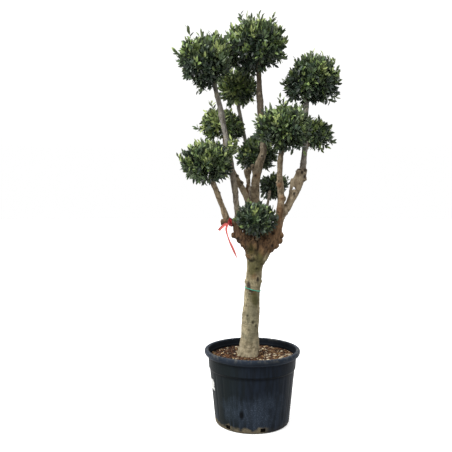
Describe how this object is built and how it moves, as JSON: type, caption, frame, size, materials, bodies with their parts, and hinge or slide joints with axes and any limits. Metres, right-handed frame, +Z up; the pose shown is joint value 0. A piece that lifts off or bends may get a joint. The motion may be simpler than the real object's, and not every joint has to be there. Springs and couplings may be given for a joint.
{
  "type": "potted olive pompom topiary",
  "caption": "Clipped olive tree with leafy balls on bare boughs above one stout trunk, growing in a round black nursery pot filled with potting mix.",
  "frame": {"origin": "middle of the pot's flat underside, on the floor", "axes": "+Z up, +X to the right seen from the front, +Y towards the back"},
  "size_m": [1.1407, 0.7171, 2.7669],
  "materials": {
    "pot_plastic": "blue-black moulded nursery plastic, scuffed pale low down",
    "potting_mix": "moist brown potting mix with pale bark chips",
    "trunk_bark": "smooth grey-tan bark with green algae patches",
    "bough_bark": "grey-brown bark, red-brown where it was cut back",
    "olive_foliage": "leathery dark green leaves with paler undersides",
    "green_twine": "turquoise polypropylene twine",
    "red_ribbon": "thin red marker tape, faded pink on its tails"
  },
  "bodies": {
    "root": {"pot": "pot_plastic", "soil": "potting_mix", "trunk": "trunk_bark", "bough_top_left": "bough_bark", "bough_middle_left": "bough_bark", "bough_top_centre": "bough_bark", "bough_right": "bough_bark", "bough_top_right": "bough_bark", "bough_middle_right": "bough_bark", "bough_lower_left": "bough_bark", "bough_upper_back": "bough_bark", "bough_middle_back": "bough_bark", "bough_lower_right": "bough_bark", "bough_far_right": "bough_bark", "pompom_top_left": "olive_foliage", "pompom_top_centre": "olive_foliage", "pompom_top_right": "olive_foliage", "pompom_upper_back": "olive_foliage", "pompom_middle_left": "olive_foliage", "pompom_middle_right": "olive_foliage", "pompom_far_right": "olive_foliage", "pompom_lower_left": "olive_foliage", "pompom_middle_back": "olive_foliage", "pompom_lower_right": "olive_foliage", "pompom_fork": "olive_foliage", "trunk_twine": "green_twine", "marker_ribbon": "red_ribbon"}
  },
  "joints": []
}
